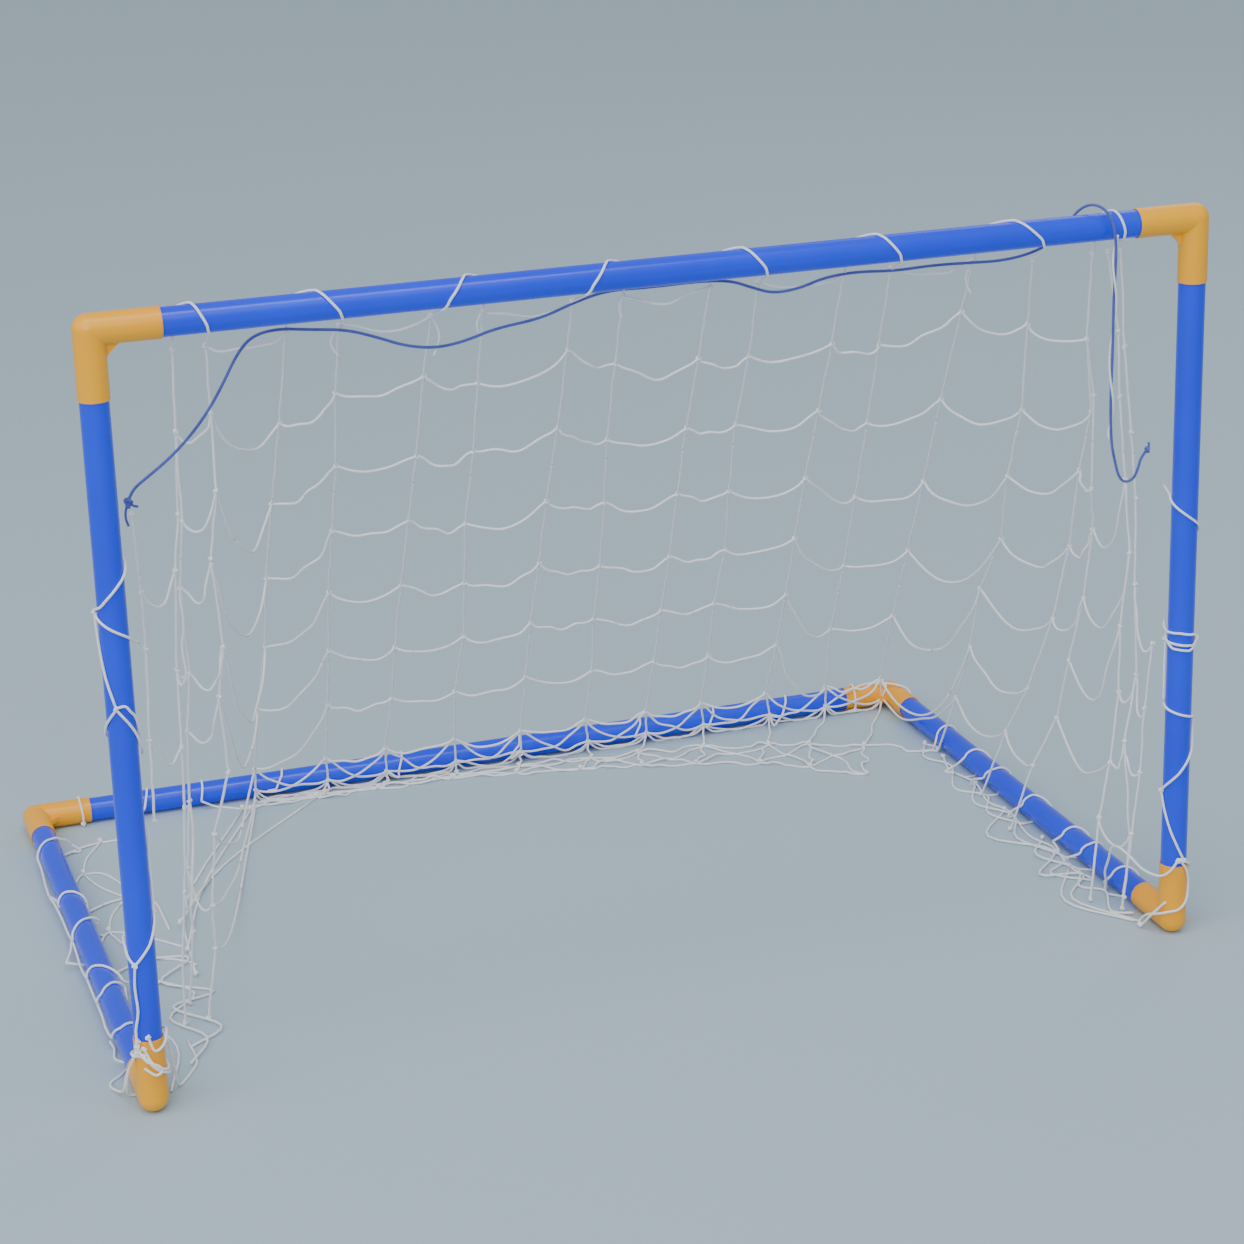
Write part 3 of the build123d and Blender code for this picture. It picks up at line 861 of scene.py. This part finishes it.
# ---------------------------------------------------------------- twine on the floor and round the elbows
def beside_rail(sign, start_y, end_y, near, far, swings):
    """A slack line on the floor inside a side rail, swinging between near and far from it, in millimetres."""
    share = np.linspace(0, 1, 2 * swings + 1)
    along = start_y + (end_y - start_y) * share + rng.normal(size=len(share)) * 9
    swing = np.where(np.arange(len(share)) % 2, 1.0, 0.0) * (0.6 + 0.4 * rng.random(len(share)))
    out = RAIL_INSIDE - near - (far - near) * swing
    return list(zip(sign * out, along, 1 + 2 * rng.random(len(share))))


RAIL_INSIDE = 436.0  # from the middle plane to the twine lying against a side rail, in millimetres
floor_lines = {
    "r": [beside_rail(1, *run) for run in (
        (180, -40, 3, 26, 3), (150, -190, 1, 10, 4), (60, -200, 2, 34, 3), (-20, -275, 4, 48, 3),
        (-90, -290, 2, 26, 3), (-170, -285, 8, 58, 1),
    )],
    "l": [beside_rail(-1, *run) for run in (
        (-20, -215, 34, 74, 3), (-90, -235, 28, 60, 2), (-150, -285, 4, 36, 1),
    )],
}
# The left net's last meshes lie open on the floor: a zigzag of knots with twine to the rail and to the gather
mesh_knots = [(-412 + 14 * (-1) ** row, 250 - 70 * row, 1) for row in range(5)]
for row, (x, y, z) in enumerate(mesh_knots):
    floor_lines["l"].append([(x, y, z), ((x - RAIL_INSIDE) / 2, y - 8, 2), (-RAIL_INSIDE, y - 22, 3)])
    floor_lines["l"].append([(x, y, z), (x + 22, y - 14, 1), (-382 + 4 * row, y * 0.6 - 40, 1)])
    if row:
        before = mesh_knots[row - 1]
        floor_lines["l"].append([before, ((x + before[0]) / 2 - 5, (y + before[1]) / 2, 1), (x, y, z)])
# Long slack lines from the left gather to the meshes in front of the rear rail
for run, skirt_knot in enumerate(("b2_f2", "b2_f1", "b3_f2")):
    gather = (-371 + 3 * run, -80 + 50 * run, 1 + 4 * run)
    bend = (-348 + 24 * run, 80 + 34 * run, 1)
    floor_lines["l"].append([gather, bend, tuple(knots[skirt_knot] / MM)])

LEAD_REACH = 70 * MM  # longest run of twine from a rail loop to the bunch beside it
LEAD_BEND = 6 * MM
floor_points = {"left_side": [], "right_side": []}
for prefix, lines in floor_lines.items():
    side = sides_of_net[prefix]
    for points in lines:
        line = smooth_line(mm(*zip(*points)).T, 5)
        line[:, 2] = np.maximum(line[:, 2], TWINE)
        lay_line(side, line)
        floor_points[side].extend(line)
        piece_for(side, line[0]).knot(line[0], KNOT, random_turn(rng))

skirt_knots = [place for name, place in knots.items() if name.endswith("_f0") or name.endswith("_f1")]
floor_points["back"] = skirt_knots + floor_points["left_side"]


# Each rail loop runs on, with a bend, to the nearest twine lying on the floor
def distance_from(end):
    return lambda place: np.linalg.norm(place - end)


for side, ends in loose_ends.items():
    for end in ends:
        closest = min(floor_points[side], key=distance_from(end))
        if np.linalg.norm(closest - end) < LEAD_REACH:
            middle = (end + closest) / 2
            middle[:2] += rng.normal(size=2) * LEAD_BEND
            middle[2] = max(min(end[2], closest[2]) * 0.7, TWINE)
            lay_line(side, smooth_line([end, middle, closest], 5))

# Bunched twine round the feet, as lines of points in millimetres
foot_lines = {
    "left": [
        [(-452, -323, 70), (-448, -325, 58), (-440, -323, 62), (-436, -314, 70), (-438, -300, 66)],
        [(-456, -322, 60), (-450, -326, 47), (-440, -323, 40), (-436.5, -312, 38), (-440, -300, 44),
         (-452, -297, 48), (-463, -304, 50), (-463, -316, 52), (-456, -322, 54)],
        [(-457, -322, 54), (-448, -326.5, 43), (-438, -321, 36), (-436, -309, 33)],
        [(-460, -320, 58), (-455, -325, 50), (-447, -327, 46), (-443, -326, 41), (-449, -327, 38),
         (-457, -324, 44)],
        [(-461, -318, 56), (-466, -308, 40), (-468, -296, 20), (-466, -284, 4), (-458, -281, 1),
         (-452, -279, 1)],
        [(-462, -314, 52), (-468, -300, 30), (-470, -285, 8), (-476, -262, 1), (-474, -252, 1),
         (-466, -244, 1), (-460, -236, 1), (-452, -226, 1)],
        [(-452, -226, 1), (-464, -214, 1), (-462, -196, 2), (-464, -188, 6)],
        [(-460, -320, 66), (-462, -318, 60), (-460, -320, 52)],
        [(-436, -312, 60), (-432, -300, 44), (-428, -290, 22), (-424, -280, 2), (-412, -262, 1),
         (-402, -240, 1), (-402, -202, 1)],
    ],
    "right": [
        [(447, -324, 72), (440, -322, 62), (434, -314, 56), (426, -300, 58), (420, -288, 66),
         (416, -272, 70), (418, -256, 62), (424, -240, 44), (428, -226, 26), (433, -219, 12),
         (434, -214, 2)],
        [(449, -324, 72), (456, -323, 62), (460, -319, 48), (458, -321, 34), (450, -324, 26),
         (440, -322, 24), (434, -314, 20), (432, -300, 14), (430, -290, 5), (427, -296, 1)],
        [(450, -324, 72), (462, -316, 64), (465, -309, 58)],
        [(427, -296, 1), (430, -306, 14), (436, -314, 26), (440, -318, 32)],
    ],
}
foot_pieces = {}
for side, sign in (("left", -1), ("right", 1)):
    bunch = Mesher()
    for points in foot_lines[side]:
        line = smooth_line(mm(*zip(*points)).T, 4)
        corner = np.array((sign * HALF_WIDTH, FRONT_Y, 0))
        radial = line - corner
        radial[:, 2] = 0
        distance = np.linalg.norm(radial, axis=1)
        upright = line[:, 2] > RAIL_Z
        push = np.where(upright, np.clip(ELBOW + TWINE * 1.1 - distance, 0, None), 0)
        line += radial / distance[:, None] * push[:, None]
        line[:, 2] = np.maximum(line[:, 2], TWINE)
        bunch.tube(line, TWINE)
        bunch.knot(line[0], KNOT, random_turn(rng))
    foot_pieces[side] = bunch

# Rear corners: twine crossing the elbows
rear_lines = {
    "left": [
        [(-406, 297, 1), (-406, 296, 12), (-407, 303, 24), (-407, 314, 25.5), (-408, 324, 14),
         (-408, 322, 1)],
    ],
    "right": [
        [tuple(knots["b11_f0"] / MM), (385, 297, 20), (404, 300, 26), (422, 305, 27.5), (440, 300, 27),
         (450, 290, 27), (460, 284, 22), (463, 280, 8)],
        [(404, 296, 1), (405, 296, 12), (406, 303, 24), (407, 314, 25.5), (408, 324, 14), (408, 322, 1)],
        [tuple(knots["b12_f0"] / MM), (440, 297, 25), (440, 306, 27), (446, 318, 24), (448, 325, 12),
         (448, 324, 1)],
    ],
}
rear_pieces = {}
for side in ("left", "right"):
    tie = Mesher()
    for points in rear_lines[side]:
        line = smooth_line(mm(*zip(*points)).T, 5)
        tie.tube(line, TWINE)
        tie.knot(line[0] + mm(0, 0, 0.8), KNOT, random_turn(rng))
    rear_pieces[side] = tie

# ---------------------------------------------------------------- put pieces on their bodies, or leave them in place
for (side, level), mesher in net_pieces.items():
    piece = mesher.make(f"{side}_net_{level}", net_white)
    if level == "top":
        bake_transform(piece)
    elif level == "middle":
        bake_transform(piece)
        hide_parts(side + "_net")
    else:
        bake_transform(piece)


# The strand tied to the left post goes with it. Its link to the strand behind stays where it is, like the
# rest of the net.
strand = post_strand.make("left_post_strand", net_white)
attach(strand, "posts")
link = post_link.make("left_post_strand_link", net_white)
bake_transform(link)


def ride_twine(mesher, name, body, node):
    piece = mesher.make(name, net_white)
    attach(piece, body)
    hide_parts(node)


for mesher, name, node in (
    (tie_knot, "cord_tie_knot", "draw_cord_tie_knot"),
    (end_knot, "cord_end_knot", "draw_cord_end_knot"),
):
    lump = mesher.make(name, cord_knot_blue)
    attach(lump, "crossbar_frame")
    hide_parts(node)

ride_twine(bar_loops, "crossbar_twine_loops", "crossbar_frame", "crossbar_net_loops")
ride_twine(rear_loops, "rear_rail_twine_loops", "rear_frame", "rear_rail_net_loops")
for side in ("left", "right"):
    lead = lead_pieces[side].make(side + "_foot_twine_lead", net_white)
    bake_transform(lead)
    ride_twine(post_pieces[side], side + "_post_twine_wraps", "posts", side + "_post_net_loops")
    ride_twine(rail_pieces[side], side + "_rail_twine_wraps", "base", side + "_rail_net_loops")
    ride_twine(foot_pieces[side], side + "_foot_twine_bunch", "base", side + "_foot_net_tie")
    ride_twine(rear_pieces[side], "rear_" + side + "_twine_tie", "rear_frame", "rear_" + side + "_net_tie")

# ---------------------------------------------------------------- floor and light
floor_mesh = bpy.data.meshes.new("floor")
reach = 40.0
floor_mesh.from_pydata([(-reach, -reach, 0), (reach, -reach, 0), (reach, reach, 0), (-reach, reach, 0)], [],
                       [(0, 1, 2, 3)])
floor = bpy.data.objects.new("floor", floor_mesh)
bpy.context.scene.collection.objects.link(floor)
floor_paint, floor_nodes, floor_links, floor_shader = new_material("floor_paint")
floor_shader.inputs["Base Color"].default_value = (0.4, 0.52, 0.6, 1)
floor_shader.inputs["Roughness"].default_value = 0.75
floor_mesh.materials.append(floor_paint)


def area_light(name, where, target, width, height, power):
    data = bpy.data.lights.new(name, "AREA")
    data.shape = "RECTANGLE"
    data.size = width
    data.size_y = height
    data.energy = power
    light = bpy.data.objects.new(name, data)
    bpy.context.scene.collection.objects.link(light)
    light.location = where
    light.rotation_euler = (Vector(target) - Vector(where)).to_track_quat("-Z", "Y").to_euler()


area_light("key", (-1.6, -3.4, 2.3), (0, 0, 0.3), 2.6, 1.8, 40)
area_light("top", (-0.3, -1.0, 3.4), (0, 0, 0.2), 2.6, 0.7, 26)
area_light("side", (-3.0, -0.2, 1.6), (0, 0, 0.3), 2.0, 2.0, 14)
area_light("rim", (2.4, 2.0, 2.6), (0, 0, 0.2), 1.8, 1.8, 12)
sun_data = bpy.data.lights.new("even_light", "SUN")
sun_data.energy = 1.5
sun_data.angle = radians(70)
sun = bpy.data.objects.new("even_light", sun_data)
bpy.context.scene.collection.objects.link(sun)
sun.rotation_euler = Vector((0.45, 0.8, -1.0)).to_track_quat("-Z", "Y").to_euler()
world = bpy.data.worlds.new("world")
world.use_nodes = True
world.node_tree.nodes["Background"].inputs["Color"].default_value = (0.86, 0.9, 0.96, 1)
world.node_tree.nodes["Background"].inputs["Strength"].default_value = 0.5
bpy.context.scene.world = world
